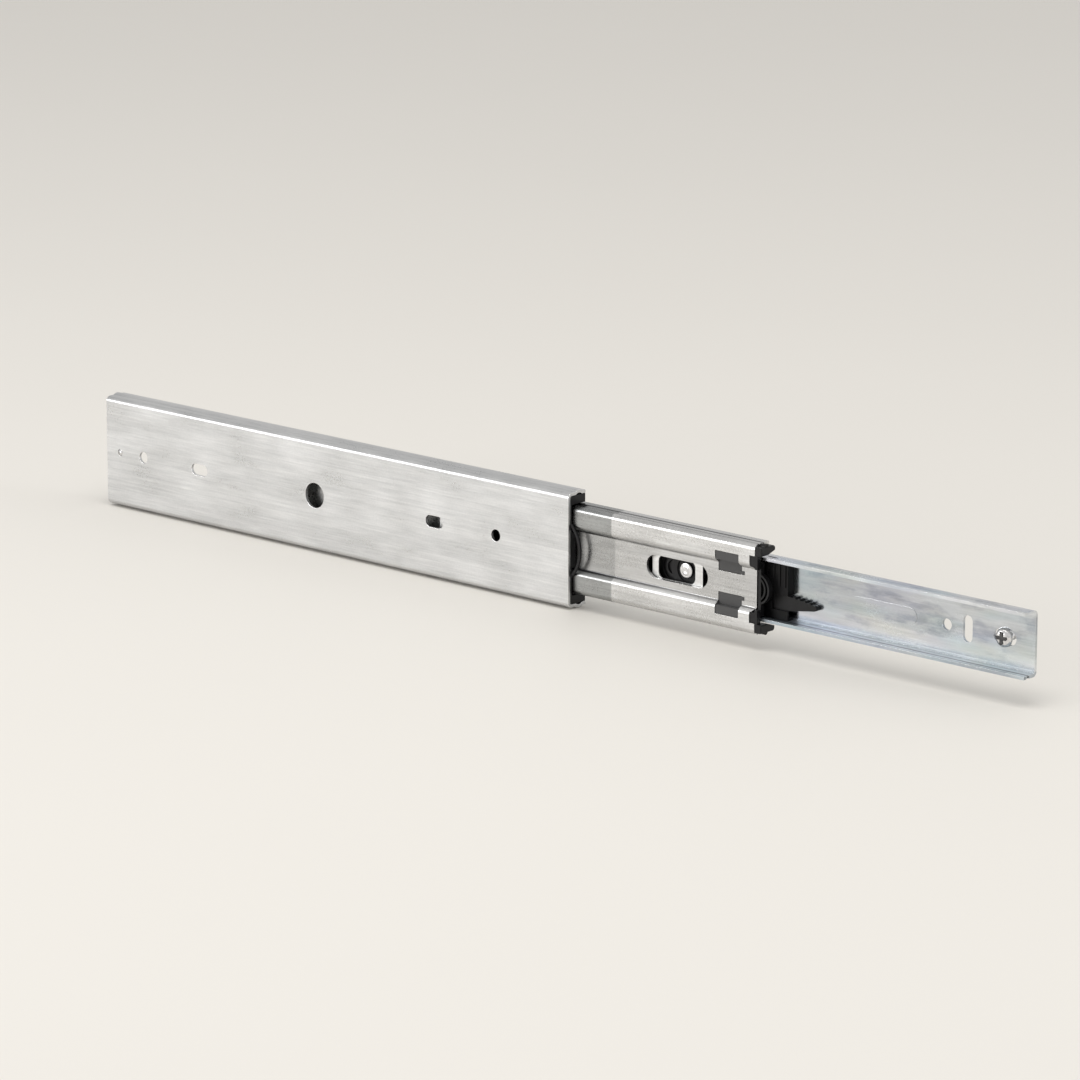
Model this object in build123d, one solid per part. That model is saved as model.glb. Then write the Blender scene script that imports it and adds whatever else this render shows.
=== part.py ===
"""Telescopic ball-bearing drawer slide, part open, hung on the left cabinet wall.

X points forward, the way the drawer opens. Y points from the cabinet wall to the drawer.
Z points up. The origin is on the wall face at mid height, level with the cabinet member's
front end. Lengths are millimetres.
"""
from build123d import *
import os

# Members
CABINET_LENGTH = 250.0
CABINET_HEIGHT = 45.5
CABINET_FLANGE_DEPTH = 9.7
CABINET_STEEL = 1.2
INTERMEDIATE_FLANGE_DEPTH = 8.1
INTERMEDIATE_STEEL = 1.4
DRAWER_STEEL = 1.2
SLIDE_THICKNESS = 12.7
BEND_RADIUS = 0.8

# Travel: how far each member is drawn from closed as stored, and what is left
INTERMEDIATE_DRAWN = 93.5
INTERMEDIATE_REMAINING = 39.5
DRAWER_DRAWN = 117.0

# Lengths of the end pieces, and the gaps they leave when a member reaches them
INTERMEDIATE_SETBACK = 4.5
FRONT_STOP_LENGTH = 12.0
REAR_BUFFER_LENGTH = 3.8
REAR_PAD_LENGTH = 2.4
REAR_PLATE = 1.2
BUMPER_PLATE_LENGTH = 23.0
CAGE_STOP_THICKNESS = 1.1
CLOSING_GAP = 0.5
OUTER_CAGE_END_GAP = 1.05
INNER_CAGE_FRONT_GAP = 5.1
INNER_CAGE_REAR_GAP = 1.4

# Balls, their races and their cages
OUTER_BALL_RADIUS = 2.38
INNER_BALL_RADIUS = 2.0
BALL_CLEARANCE = 0.07
OUTER_RACE_DEPTH = 0.45
INNER_RACE_DEPTH = 0.3
RACE_BULGE = 0.65
OUTER_BALL_Y = 6.0
INNER_BALL_Y = 7.6
CAGE_STEEL = 0.55
CAGE_GAP = 0.375
CAGE_BALL_HOLE_CLEARANCE = 0.12
OUTER_BALL_COUNT = 8
INNER_BALL_COUNT = 8
CAGE_END_MARGIN = 5.5

# Rolled step between the raised bands and the recessed web
BAND_STEP = 2.1
STEP_INSIDE_FLANGE = 3.66
STEP_WIDTH = 1.4
STEP_RADIUS = 0.5

# Working gaps
RUNNING_GAP = 0.35
SEAT_GAP = 0.05

# How far a cutter runs past the open side it comes in from
CUTTER_OVERRUN = 1.0

# Heights worked out through the ball races
cabinet_half = CABINET_HEIGHT / 2
cabinet_flat_half = cabinet_half - RACE_BULGE
outer_race_radius = OUTER_BALL_RADIUS + BALL_CLEARANCE
outer_ball_z = cabinet_half - CABINET_STEEL - outer_race_radius
intermediate_half = outer_ball_z - outer_race_radius + OUTER_RACE_DEPTH
intermediate_inner = intermediate_half - INTERMEDIATE_STEEL
inner_race_radius = INNER_BALL_RADIUS + BALL_CLEARANCE
inner_ball_z = intermediate_inner + INNER_RACE_DEPTH - inner_race_radius
drawer_half = inner_ball_z - inner_race_radius + INNER_RACE_DEPTH
drawer_inner = drawer_half - DRAWER_STEEL
step_start_z = drawer_inner - STEP_INSIDE_FLANGE
step_end_z = step_start_z + STEP_WIDTH

# Depths worked out from the wall face
band_y = CABINET_STEEL + 2 * CAGE_GAP + CAGE_STEEL
web_y = band_y + BAND_STEP
band_far_y = band_y + INTERMEDIATE_STEEL
web_far_y = web_y + INTERMEDIATE_STEEL
intermediate_edge_y = band_y + INTERMEDIATE_FLANGE_DEPTH
outer_cage_band_y = CABINET_STEEL + CAGE_GAP
outer_cage_web_y = web_y - CAGE_GAP - CAGE_STEEL
inner_cage_band_y = band_far_y + CAGE_GAP
inner_cage_web_y = web_far_y + CAGE_GAP
drawer_edge_y = inner_cage_band_y + CAGE_STEEL + CAGE_GAP
inside_y = inner_cage_web_y + CAGE_STEEL + RUNNING_GAP
drawer_web_y = SLIDE_THICKNESS - DRAWER_STEEL

# Ends along the slide, worked out from the closed slide
cabinet_rear = -CABINET_LENGTH
closed_plate_rear = cabinet_rear + REAR_BUFFER_LENGTH + CLOSING_GAP
closed_intermediate_rear = closed_plate_rear + REAR_PLATE
intermediate_front = INTERMEDIATE_DRAWN - INTERMEDIATE_SETBACK
intermediate_rear = closed_intermediate_rear + INTERMEDIATE_DRAWN
drawer_front = INTERMEDIATE_DRAWN + DRAWER_DRAWN
drawer_rear = closed_intermediate_rear + CLOSING_GAP + drawer_front

# Each cage moves half as far as the member it carries, and just clears the stops at full reach
bumper_rear_x = intermediate_front - BUMPER_PLATE_LENGTH
extended_pad_front = intermediate_rear + INTERMEDIATE_REMAINING + REAR_PAD_LENGTH
outer_cage_front = -FRONT_STOP_LENGTH - OUTER_CAGE_END_GAP - INTERMEDIATE_REMAINING / 2
outer_cage_rear = extended_pad_front + OUTER_CAGE_END_GAP - INTERMEDIATE_REMAINING / 2
inner_cage_front = bumper_rear_x - INNER_CAGE_FRONT_GAP
inner_cage_rear = drawer_rear + CAGE_STOP_THICKNESS + INNER_CAGE_REAR_GAP


def block(x_span, y_span, z_span):
    """Box between two corners, given as three (low, high) pairs."""
    spans = (x_span, y_span, z_span)
    sizes = [high - low for low, high in spans]
    middles = [(low + high) / 2 for low, high in spans]
    return Pos(*middles) * Box(*sizes)


def across(outline, x, z, y_span):
    """Extrude a flat outline, drawn in X and Z about (x, z), through a span of Y."""
    plane = Plane(origin=(x, y_span[1], z), x_dir=(1, 0, 0), z_dir=(0, -1, 0))
    return extrude(plane * outline, amount=y_span[1] - y_span[0])


def round_bar(x, z, radius, y_span):
    """Cylinder along Y."""
    return across(Circle(radius), x, z, y_span)


def oblong(x, z, length, width, y_span, upright=False):
    """Round-ended slot cutter or pad, lying along X or standing along Z."""
    outline = SlotOverall(length, width, rotation=90 if upright else 0)
    return across(outline, x, z, y_span)


def both_sides(shape):
    """The shape and its mirror image below mid height."""
    return Compound([shape, shape.mirror(Plane.XY)])


def unit(start, end):
    """Direction from one flat point to another."""
    dy, dz = end[0] - start[0], end[1] - start[1]
    length = (dy * dy + dz * dz) ** 0.5
    return dy / length, dz / length


def strip_profile(upper_points, radii, thickness):
    """Bent sheet in section, from its upper free edge to its lower one.

    upper_points run along the face towards the wall, radii are the inside bend radii.
    """
    lower_points = [(y, -z) for y, z in reversed(upper_points)]
    near = [*upper_points, *lower_points]
    bends = [*radii, *reversed(radii)]
    ways = [unit(a, b) for a, b in zip(near, near[1:])]
    far = [(near[0][0] - ways[0][1] * thickness, near[0][1] + ways[0][0] * thickness)]
    corners = []
    for point, before, after, bend in zip(near[1:], ways, ways[1:], bends):
        reach = thickness / (1 + before[0] * after[0] + before[1] * after[1])
        shift_y = -(before[1] + after[1]) * reach
        shift_z = (before[0] + after[0]) * reach
        opposite = (point[0] + shift_y, point[1] + shift_z)
        far.append(opposite)
        towards_sheet = before[0] * after[1] - before[1] * after[0] > 0
        corners.append((point, bend + thickness if towards_sheet else bend))
        corners.append((opposite, bend if towards_sheet else bend + thickness))
    far.append((near[-1][0] - ways[-1][1] * thickness, near[-1][1] + ways[-1][0] * thickness))
    section = make_face(Polyline(*near, *reversed(far), close=True).edges())
    for (y, z), radius in corners:
        vertex = section.vertices().sort_by_distance(Vector(y, z, 0))[0]
        section = fillet(vertex, radius)
    return section


def prism(face, x_span):
    """Extrude a section, drawn in Y and Z, along the slide."""
    plane = Plane(origin=(x_span[0], 0, 0), x_dir=(0, 1, 0), z_dir=(1, 0, 0))
    return extrude(plane * face, amount=x_span[1] - x_span[0])


def race(y, z, radius):
    """Ball race section, above and below mid height."""
    return Pos(y, z) * Circle(radius) + Pos(y, -z) * Circle(radius)


# Cabinet member
CABINET_HOLE_RADIUS = 2.3
CABINET_HOLES_X = (-37.0, -229.0)
CABINET_SLOTS_X = (-69.0, -197.0)
CABINET_SLOT_LENGTH = 9.0
CABINET_ACCESS_X = -133.0
CABINET_ACCESS_RADIUS = 5.0


def cabinet_profile():
    flange = [(CABINET_FLANGE_DEPTH, cabinet_flat_half), (0, cabinet_flat_half)]
    sheet = strip_profile(flange, [BEND_RADIUS], CABINET_STEEL)
    flange_inner = cabinet_flat_half - CABINET_STEEL
    shoulder = Rectangle(CABINET_FLANGE_DEPTH * 2, CABINET_HEIGHT * 2) - Rectangle(
        CABINET_FLANGE_DEPTH * 3, flange_inner * 2
    )
    bulge = race(OUTER_BALL_Y, outer_ball_z, outer_race_radius + CABINET_STEEL)
    bulge = bulge & (Pos(CABINET_FLANGE_DEPTH, 0) * shoulder)
    return sheet + bulge - race(OUTER_BALL_Y, outer_ball_z, outer_race_radius)


def cabinet_member():
    member = prism(cabinet_profile(), (cabinet_rear, 0))
    through = (-CABINET_STEEL, 2 * CABINET_STEEL)
    for x in CABINET_HOLES_X:
        member -= round_bar(x, 0, CABINET_HOLE_RADIUS, through)
    for x in CABINET_SLOTS_X:
        member -= oblong(x, 0, CABINET_SLOT_LENGTH, 2 * CABINET_HOLE_RADIUS, through)
    member -= round_bar(CABINET_ACCESS_X, 0, CABINET_ACCESS_RADIUS, through)
    member -= round_bar(rear_rivet_x, 0, RIVET_SHANK_RADIUS, through)
    return member


# Plastic end pieces of the cabinet member
FRONT_CUSHION_REACH = 5.0
FRONT_CUSHION_HALF = 10.5
CUSHION_LEAF = 1.3
REAR_BUFFER_CORNER = 4.0
REAR_BUFFER_EDGE_SETBACK = 1.0
RIVET_SHANK_RADIUS = 1.4
RIVET_HEAD_RADIUS = 3.0
RIVET_HEAD_HEIGHT = 0.9
RIVET_HEAD_ROUND = 0.63
REAR_RIVET_SETBACK = 7.5
REAR_BUFFER_FOOT = 12.0
REAR_BUFFER_FOOT_HEIGHT = 2.6
REAR_BUFFER_FOOT_HALF = 5.5
rear_rivet_x = cabinet_rear + REAR_RIVET_SETBACK


def bowed_leaf(base_x, reach, half_height, leaf, y_span):
    """Thin bowed cushion standing forward of base_x, with a gap behind it."""
    low = (base_x, -half_height)
    middle = (base_x + reach, 0)
    high = (base_x, half_height)
    bow = ThreePointArc(low, middle, high)
    inner_half = half_height - leaf
    inner = ThreePointArc((base_x, inner_half), (base_x + reach - leaf, 0), (base_x, -inner_half))
    outline = Curve() + [bow, Line(high, inner @ 0), inner, Line(inner @ 1, low)]
    return across(make_face(outline.edges()), 0, 0, y_span)


def channel_filler(x_span, far_y):
    """Block that fills the cabinet member from its web out to far_y, bends included."""
    half = cabinet_flat_half - CABINET_STEEL - SEAT_GAP
    filler = block(x_span, (CABINET_STEEL + SEAT_GAP, far_y), (-half, half))
    return fillet(filler.edges().filter_by(Axis.X).sort_by(Axis.Y)[:2], BEND_RADIUS)


def cabinet_front_stop():
    """Fills the channel's mouth round the intermediate member, with a running gap."""
    seat_y = CABINET_STEEL + SEAT_GAP
    x_span = (-FRONT_STOP_LENGTH, 0)
    filler = channel_filler(x_span, CABINET_FLANGE_DEPTH - SEAT_GAP)
    clear_half = intermediate_half + RUNNING_GAP
    passage = block(
        (-2 * FRONT_STOP_LENGTH, FRONT_STOP_LENGTH),
        (band_y - RUNNING_GAP, 2 * CABINET_FLANGE_DEPTH),
        (-clear_half, clear_half),
    )
    shoulder_half = step_start_z - RUNNING_GAP
    hump = block(x_span, (seat_y, web_y - RUNNING_GAP), (-shoulder_half, shoulder_half))
    cushion = bowed_leaf(
        0, FRONT_CUSHION_REACH, FRONT_CUSHION_HALF, CUSHION_LEAF, (seat_y, band_y - RUNNING_GAP)
    )
    return filler - passage + hump + cushion


def cabinet_rear_buffer():
    """Moulded stop in the rear end, held by one rivet through its foot."""
    seat_y = CABINET_STEEL + SEAT_GAP
    wall_x = (cabinet_rear, cabinet_rear + REAR_BUFFER_LENGTH)
    wall = channel_filler(wall_x, SLIDE_THICKNESS - REAR_BUFFER_EDGE_SETBACK)
    corner = wall.edges().filter_by(Axis.X).sort_by(Axis.Y)[-2:]
    wall = fillet(corner, REAR_BUFFER_CORNER)
    foot = block(
        (cabinet_rear, cabinet_rear + REAR_BUFFER_FOOT),
        (seat_y, seat_y + REAR_BUFFER_FOOT_HEIGHT - RIVET_HEAD_HEIGHT),
        (-REAR_BUFFER_FOOT_HALF, REAR_BUFFER_FOOT_HALF),
    )
    return wall + foot - round_bar(rear_rivet_x, 0, RIVET_SHANK_RADIUS, (0, REAR_BUFFER_FOOT))


def rivet(x, z, head_radius, shank_radius, y_span, head_first):
    """Domed rivet along Y; its head is at the wall end when head_first is true."""
    low, high = y_span
    head_span = (low, low + RIVET_HEAD_HEIGHT) if head_first else (high - RIVET_HEAD_HEIGHT, high)
    head = round_bar(x, z, head_radius, head_span)
    rims = head.edges().filter_by(GeomType.CIRCLE).sort_by(Axis.Y)
    head = fillet(rims[0] if head_first else rims[-1], RIVET_HEAD_ROUND)
    return head + round_bar(x, z, shank_radius, y_span)


def rear_buffer_rivet():
    top = CABINET_STEEL + SEAT_GAP + REAR_BUFFER_FOOT_HEIGHT
    return rivet(rear_rivet_x, 0, RIVET_HEAD_RADIUS, RIVET_SHANK_RADIUS - SEAT_GAP, (0, top), False)


# Balls and cages
OUTER_CAGE_WINDOW_LENGTH = 22.0
OUTER_CAGE_WINDOW_WIDTH = 8.0
OUTER_CAGE_WINDOW_COUNT = 3
INNER_CAGE_WINDOW_LENGTH = 18.0
INNER_CAGE_WINDOW_WIDTH = 8.8
INNER_CAGE_WINDOW_COUNT = 4
INNER_CAGE_WINDOW_PITCH = 20.9
INNER_CAGE_FRONT_BAR = 3.6
CAGE_BEND_RADIUS = 0.6
CAGE_ARM_MARGIN = 2.2
WINDOW_CORNER = 2.5


def ball_places(rear, front, count):
    first = rear + CAGE_END_MARGIN
    pitch = (front - rear - 2 * CAGE_END_MARGIN) / (count - 1)
    return [first + pitch * i for i in range(count)]


outer_ball_places = ball_places(outer_cage_rear, outer_cage_front, OUTER_BALL_COUNT)
inner_ball_places = ball_places(inner_cage_rear, inner_cage_front, INNER_BALL_COUNT)


def ball_row(places, y, z, radius):
    return Compound([Pos(x, y, z) * Sphere(radius) for x in places])


def cage_holes(cage, places, y, ball_z, ball_radius):
    """Pierce both arms of a cage for its balls."""
    hole = Cylinder(ball_radius + CAGE_BALL_HOLE_CLEARANCE, 4 * CAGE_STEEL)
    for x in places:
        cage -= Pos(x, y, ball_z) * hole
        cage -= Pos(x, y, -ball_z) * hole
    return cage


def cage_windows(cage, centres, length, width, y_span):
    for x in centres:
        window = RectangleRounded(length, width, WINDOW_CORNER)
        cage -= across(window, x, 0, y_span)
    return cage


def outer_ball_cage():
    arm_z = outer_ball_z + CAGE_STEEL / 2
    step_low = step_start_z - CAGE_GAP
    upper = [
        (OUTER_BALL_Y + CAGE_ARM_MARGIN + CAGE_STEEL, arm_z),
        (outer_cage_band_y, arm_z),
        (outer_cage_band_y, step_low + STEP_WIDTH - CAGE_STEEL / 2),
        (outer_cage_web_y, step_low - CAGE_STEEL / 2),
    ]
    section = strip_profile(upper, [CAGE_BEND_RADIUS] * 3, CAGE_STEEL)
    cage = prism(section, (outer_cage_rear, outer_cage_front))
    cage = cage_holes(cage, outer_ball_places, OUTER_BALL_Y, outer_ball_z, OUTER_BALL_RADIUS)
    pitch = (outer_cage_front - outer_cage_rear) / OUTER_CAGE_WINDOW_COUNT
    centres = [outer_cage_rear + pitch * (i + 0.5) for i in range(OUTER_CAGE_WINDOW_COUNT)]
    y_span = (0, web_y)
    return cage_windows(cage, centres, OUTER_CAGE_WINDOW_LENGTH, OUTER_CAGE_WINDOW_WIDTH, y_span)


def inner_ball_cage():
    arm_z = inner_ball_z + CAGE_STEEL / 2
    step_low = step_start_z + INTERMEDIATE_STEEL + CAGE_GAP
    upper = [
        (INNER_BALL_Y + CAGE_ARM_MARGIN, arm_z),
        (inner_cage_band_y, arm_z),
        (inner_cage_band_y, step_low + STEP_WIDTH - CAGE_STEEL / 2),
        (inner_cage_web_y, step_low - CAGE_STEEL / 2),
    ]
    section = strip_profile(upper, [CAGE_BEND_RADIUS] * 3, CAGE_STEEL)
    cage = prism(section, (inner_cage_rear, inner_cage_front))
    cage = cage_holes(cage, inner_ball_places, INNER_BALL_Y, inner_ball_z, INNER_BALL_RADIUS)
    front_centre = inner_cage_front - INNER_CAGE_FRONT_BAR - INNER_CAGE_WINDOW_LENGTH / 2
    centres = [front_centre - INNER_CAGE_WINDOW_PITCH * i for i in range(INNER_CAGE_WINDOW_COUNT)]
    y_span = (band_y, inside_y)
    return cage_windows(cage, centres, INNER_CAGE_WINDOW_LENGTH, INNER_CAGE_WINDOW_WIDTH, y_span)


# Intermediate member, with the stop tab that catches the release lever
ACCESS_SLOT_LENGTH = 30.0
ACCESS_SLOT_WIDTH = 9.0
ACCESS_SLOTS_SETBACK = (39.1, 184.0)
CLIP_WINDOW_SETBACK = 19.0
CLIP_WINDOW_LENGTH = 11.3
CLIP_WINDOW_BELOW_STEP = 3.3
CLIP_WINDOW_ABOVE_STEP = 4.7
CLIP_PLATE_LAP = 1.5
TONGUE_RECESS = 0.6
TONGUE_CHAMFER = 1.3
NOTCH_RECESS = 2.5
NOTCH_ABOVE_STEP = (1.2, 5.4)
STOP_TAB_SETBACK = 4.7
STOP_TAB_STEEL = 1.3
STOP_TAB_Z = (0.0, 3.6)
STOP_TAB_HEIGHT = 0.7
clip_window_z = (step_start_z - CLIP_WINDOW_BELOW_STEP, step_start_z + CLIP_WINDOW_ABOVE_STEP)
notch_z = (step_start_z + NOTCH_ABOVE_STEP[0], step_start_z + NOTCH_ABOVE_STEP[1])
clip_rear_x = intermediate_front - CLIP_WINDOW_SETBACK
clip_window_x = (clip_rear_x, clip_rear_x + CLIP_WINDOW_LENGTH)
tab_rear_x = intermediate_front - STOP_TAB_SETBACK
stop_tab_x = (tab_rear_x, tab_rear_x + STOP_TAB_STEEL)


def intermediate_profile():
    upper = [
        (intermediate_edge_y, intermediate_half),
        (band_y, intermediate_half),
        (band_y, step_end_z),
        (web_y, step_start_z),
    ]
    sheet = strip_profile(upper, [BEND_RADIUS, STEP_RADIUS, STEP_RADIUS], INTERMEDIATE_STEEL)
    sheet -= race(OUTER_BALL_Y, outer_ball_z, outer_race_radius)
    return sheet - race(INNER_BALL_Y, inner_ball_z, inner_race_radius)


def intermediate_member():
    member = prism(intermediate_profile(), (intermediate_rear, intermediate_front))
    through = (0, inside_y)
    for setback in ACCESS_SLOTS_SETBACK:
        x = intermediate_front - setback
        member -= oblong(x, 0, ACCESS_SLOT_LENGTH, ACCESS_SLOT_WIDTH, through)
    member -= both_sides(block(clip_window_x, through, clip_window_z))
    tongue_x = intermediate_front - TONGUE_RECESS
    member -= block((tongue_x, intermediate_front + CUTTER_OVERRUN), through, (-notch_z[0], notch_z[0]))
    notch_x = (intermediate_front - NOTCH_RECESS, intermediate_front + CUTTER_OVERRUN)
    member -= both_sides(block(notch_x, through, notch_z))
    corner = [
        (tongue_x, notch_z[0]),
        (tongue_x - TONGUE_CHAMFER, notch_z[0]),
        (tongue_x, notch_z[0] - TONGUE_CHAMFER),
    ]
    member -= both_sides(across(make_face(Polyline(*corner, close=True).edges()), 0, 0, through))
    tab_y = (web_y + INTERMEDIATE_STEEL / 2, inside_y + STOP_TAB_HEIGHT)
    return member + block(stop_tab_x, tab_y, STOP_TAB_Z)


# Plastic end pieces of the intermediate member
BUMPER_REACH = 3.2
BUMPER_PLATE = 0.65
BUMPER_WALL = 1.3
HOOK_CORNER = 0.5
HOOK_TOP_SETBACK = 1.0
HOOK_TIP_HEIGHT = 1.9
HOOK_TIP_ROUND = 1.1
HOOK_ROOT_DEPTH = 4.0
NUB_RADIUS = 1.1
BUMPER_BOWS = ((3.9, 5.6), (2.2, 4.0))  # reach and half height of each
BUMPER_LEAF = 0.75
LUG_GAP = 0.14
PIP_HEIGHT = 1.4
PIP_LAP = 1.1
PIP_PROUD = 0.25
FLUSH_SETBACK = 0.2
REAR_PAD_EDGE_SETBACK = 1.0
hook_low_z = drawer_half + 2 * RUNNING_GAP


def bumper_plate():
    """Backing plate that follows the member's far face from behind the windows to its front."""
    y_band = band_far_y + SEAT_GAP
    y_web = web_far_y + SEAT_GAP
    step_low = step_start_z + INTERMEDIATE_STEEL / 2 + SEAT_GAP
    upper = [
        (y_band, clip_window_z[1] + CLIP_PLATE_LAP),
        (y_band, step_low + STEP_WIDTH),
        (y_web, step_low),
    ]
    section = strip_profile(upper, [STEP_RADIUS] * 2, BUMPER_PLATE)
    plate = prism(section, (bumper_rear_x, intermediate_front))
    tab_room = block(
        (stop_tab_x[0] - RUNNING_GAP, stop_tab_x[1] + RUNNING_GAP),
        (web_y, inside_y),
        (STOP_TAB_Z[0] - RUNNING_GAP, STOP_TAB_Z[1] + RUNNING_GAP),
    )
    return plate - tab_room


def bumper_lug():
    """Lug that fills the upper clip window and steps with the sheet."""
    x_span = (clip_window_x[0] + LUG_GAP, clip_window_x[1] - LUG_GAP)
    low_z, high_z = clip_window_z[0] + LUG_GAP, clip_window_z[1] - LUG_GAP
    high_y = (band_y + FLUSH_SETBACK, band_far_y + BUMPER_PLATE)
    low_y = (web_y + FLUSH_SETBACK, web_far_y + BUMPER_PLATE)
    high = block(x_span, high_y, (step_end_z, high_z))
    return high + block(x_span, low_y, (low_z, step_end_z))


def bumper_hook():
    """Upper hook: deep at the wall side, thinning towards the drawer side, a nub on top."""
    near_y = band_y + SEAT_GAP
    far_y = intermediate_edge_y - SEAT_GAP
    top_z = intermediate_half - HOOK_TOP_SETBACK
    outline = [
        (near_y, hook_low_z),
        (near_y, top_z),
        (far_y, top_z),
        (far_y, top_z - HOOK_TIP_HEIGHT),
        (near_y + HOOK_ROOT_DEPTH, hook_low_z),
    ]
    x_span = (intermediate_front + SEAT_GAP, intermediate_front + BUMPER_REACH)
    section = make_face(Polyline(*outline, close=True).edges())
    tip = section.vertices().sort_by_distance(Vector(far_y, top_z, 0))[0]
    hook = prism(fillet(tip, HOOK_TIP_ROUND), x_span)
    hook = fillet(hook.faces().sort_by(Axis.X)[-1].edges(), HOOK_CORNER)
    nub_z = intermediate_half - SEAT_GAP - NUB_RADIUS
    nub_x = (x_span[0], x_span[1] - HOOK_CORNER)
    return hook + prism(Pos(OUTER_BALL_Y, nub_z) * Circle(NUB_RADIUS), nub_x)


def bumper_pip():
    """Snap pip on the lug's inner front corner, lapping the web's near face."""
    front = clip_window_x[1]
    low_z = clip_window_z[0] + LUG_GAP
    z_span = (low_z, low_z + PIP_HEIGHT)
    near_y = web_y - PIP_PROUD
    root = block((front - PIP_LAP, front - SEAT_GAP), (near_y, web_y + 2 * FLUSH_SETBACK), z_span)
    return root + block((front - PIP_LAP, front + PIP_LAP), (near_y, web_y - SEAT_GAP / 2), z_span)


def intermediate_front_bumper():
    """Backing plate with its lugs, a front wall with a double bowed cushion, and two hooks."""
    face_x = intermediate_front + SEAT_GAP
    wall_x = (face_x, intermediate_front + BUMPER_WALL)
    near_y = band_y + SEAT_GAP
    plate_y = band_far_y + SEAT_GAP + BUMPER_PLATE
    web_plate_y = web_far_y + SEAT_GAP + BUMPER_PLATE
    inner_half = drawer_inner - 2 * RUNNING_GAP
    wall = block(wall_x, (web_y + SEAT_GAP, web_plate_y), (-inner_half, inner_half))
    cheek = block(wall_x, (near_y, plate_y), (step_start_z + RUNNING_GAP, hook_low_z + BUMPER_WALL))
    notch_fill = block(
        (intermediate_front - NOTCH_RECESS + SEAT_GAP, wall_x[1]),
        (near_y + FLUSH_SETBACK, plate_y),
        (notch_z[0] + SEAT_GAP, notch_z[1] - SEAT_GAP),
    )
    link_x = (intermediate_front - FLUSH_SETBACK, wall_x[1])
    link = block(link_x, (web_far_y + SEAT_GAP, web_plate_y), (-step_start_z, step_start_z))
    bumper = bumper_plate() + wall + link
    cushion_y = (web_y + SEAT_GAP, web_plate_y)
    for reach, half in BUMPER_BOWS:
        bumper += bowed_leaf(wall_x[1] - SEAT_GAP, reach, half, BUMPER_LEAF, cushion_y)
    for piece in (bumper_lug(), bumper_pip(), bumper_hook(), notch_fill, cheek):
        bumper = bumper + piece + piece.mirror(Plane.XY)
    return bumper


def intermediate_rear_buffer():
    """Moulded cap on the rear end: pads above and below keep the outer cage on."""
    pad_top = cabinet_flat_half - CABINET_STEEL - RUNNING_GAP
    pad_y = (band_y + FLUSH_SETBACK, CABINET_FLANGE_DEPTH - REAR_PAD_EDGE_SETBACK)
    plate = block(
        (intermediate_rear - REAR_PLATE, intermediate_rear - SEAT_GAP),
        (web_y, CABINET_FLANGE_DEPTH - REAR_PAD_EDGE_SETBACK),
        (-pad_top, pad_top),
    )
    pad = block(
        (intermediate_rear - REAR_PLATE, intermediate_rear + REAR_PAD_LENGTH),
        pad_y,
        (intermediate_half + SEAT_GAP, pad_top),
    )
    return plate + pad + pad.mirror(Plane.XY)


# Drawer member
DRAWER_SCREW_SETBACK = 13.3
DRAWER_UPRIGHT_SLOT_SETBACK = 30.0
DRAWER_HOLE_SETBACK = 39.4
DRAWER_REAR_HOLE_SETBACK = 231.4
DRAWER_REAR_SLOT_SETBACK = 220.0
DRAWER_HOLE_RADIUS = 2.15
DRAWER_SLOT_LENGTH = 10.0
DRAWER_SCREW_SLOT_LENGTH = 10.2
DRAWER_SCREW_SLOT_WIDTH = 5.4
EMBOSSED_PAD_SETBACK = 68.0
EMBOSSED_PAD_LENGTH = 30.0
EMBOSSED_PAD_WIDTH = 6.5
EMBOSSED_PAD_HEIGHT = 0.15
CAGE_STOP_RISE = 1.2
CAGE_STOP_HALF_WIDTH = 1.2
DRAWER_CORNER = 2.0


def drawer_profile():
    sheet = Pos((drawer_edge_y + SLIDE_THICKNESS) / 2, 0) * RectangleRounded(
        SLIDE_THICKNESS - drawer_edge_y + 2 * DRAWER_CORNER, 2 * drawer_half, DRAWER_CORNER
    )
    sheet = Pos(-DRAWER_CORNER, 0) * sheet
    room = Rectangle(2 * (drawer_web_y - drawer_edge_y), 2 * drawer_inner)
    sheet -= Pos(drawer_edge_y, 0) * room
    below_edge = Rectangle(4 * DRAWER_CORNER, 3 * drawer_half)
    sheet -= Pos(drawer_edge_y - 2 * DRAWER_CORNER, 0) * below_edge
    return sheet - race(INNER_BALL_Y, inner_ball_z, inner_race_radius)


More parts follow.
